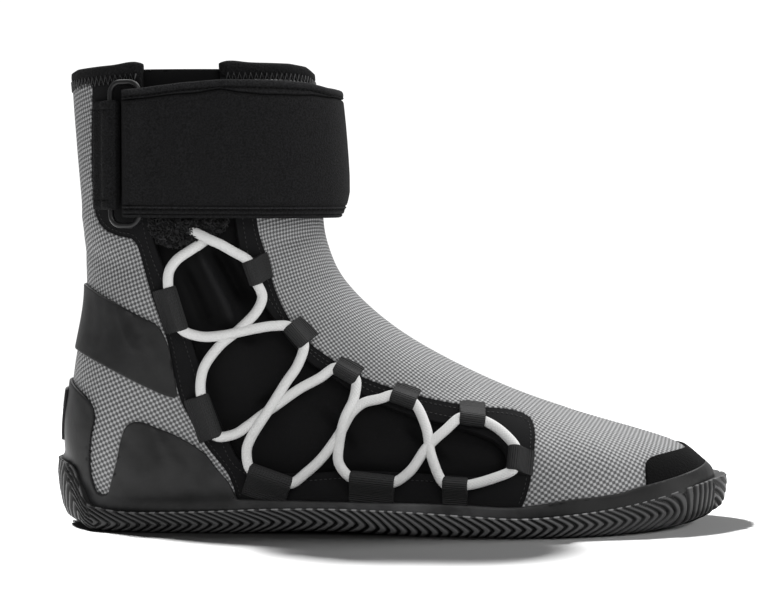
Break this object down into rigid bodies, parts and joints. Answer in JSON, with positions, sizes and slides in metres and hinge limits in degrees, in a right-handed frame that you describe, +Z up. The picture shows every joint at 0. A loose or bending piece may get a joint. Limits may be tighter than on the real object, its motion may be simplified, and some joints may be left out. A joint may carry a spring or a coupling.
{
  "type": "sailing boot",
  "caption": "Ankle-high neoprene sailing boot with a textured skin, rubber rand, ribbed outsole, side lacing through webbing loops and an ankle strap through a ring.",
  "frame": {"origin": "on the floor, under the middle of the boot's outline", "axes": "+X to the toe, +Y to the inner side of this right boot, +Z up"},
  "size_m": [0.2848, 0.1014, 0.1941],
  "materials": {
    "skin": "grey textured neoprene with small raised glossy bumps",
    "neoprene": "black stretch knit over neoprene, matt",
    "rubber": "smooth dark rubber, half matt",
    "sole": "moulded dark rubber, ribbed on its side",
    "webbing": "ribbed black webbing",
    "lace": "round white braid",
    "plastic": "black moulded plastic, slight sheen"
  },
  "bodies": {
    "root": {"upper": "skin", "eyestay": "neoprene", "collar_binding": "neoprene", "tongue": "neoprene", "insole": "neoprene", "outsole": "sole", "rand": "rubber", "heel_band": "rubber", "toe_patch": "rubber", "heel_tab": "rubber", "lace_loop_1": "webbing", "lace_loop_2": "webbing", "lace_loop_3": "webbing", "lace_loop_4": "webbing", "lace_loop_5": "webbing", "lace_loop_6": "webbing", "lace_loop_7": "webbing", "lace_loop_8": "webbing", "lace_loop_9": "webbing", "lace_loop_10": "webbing", "lace_loop_11": "webbing", "lace": "lace", "lace_keeper": "neoprene", "ankle_strap": "neoprene", "strap_ring": "plastic", "strap_anchor": "webbing"}
  },
  "joints": []
}
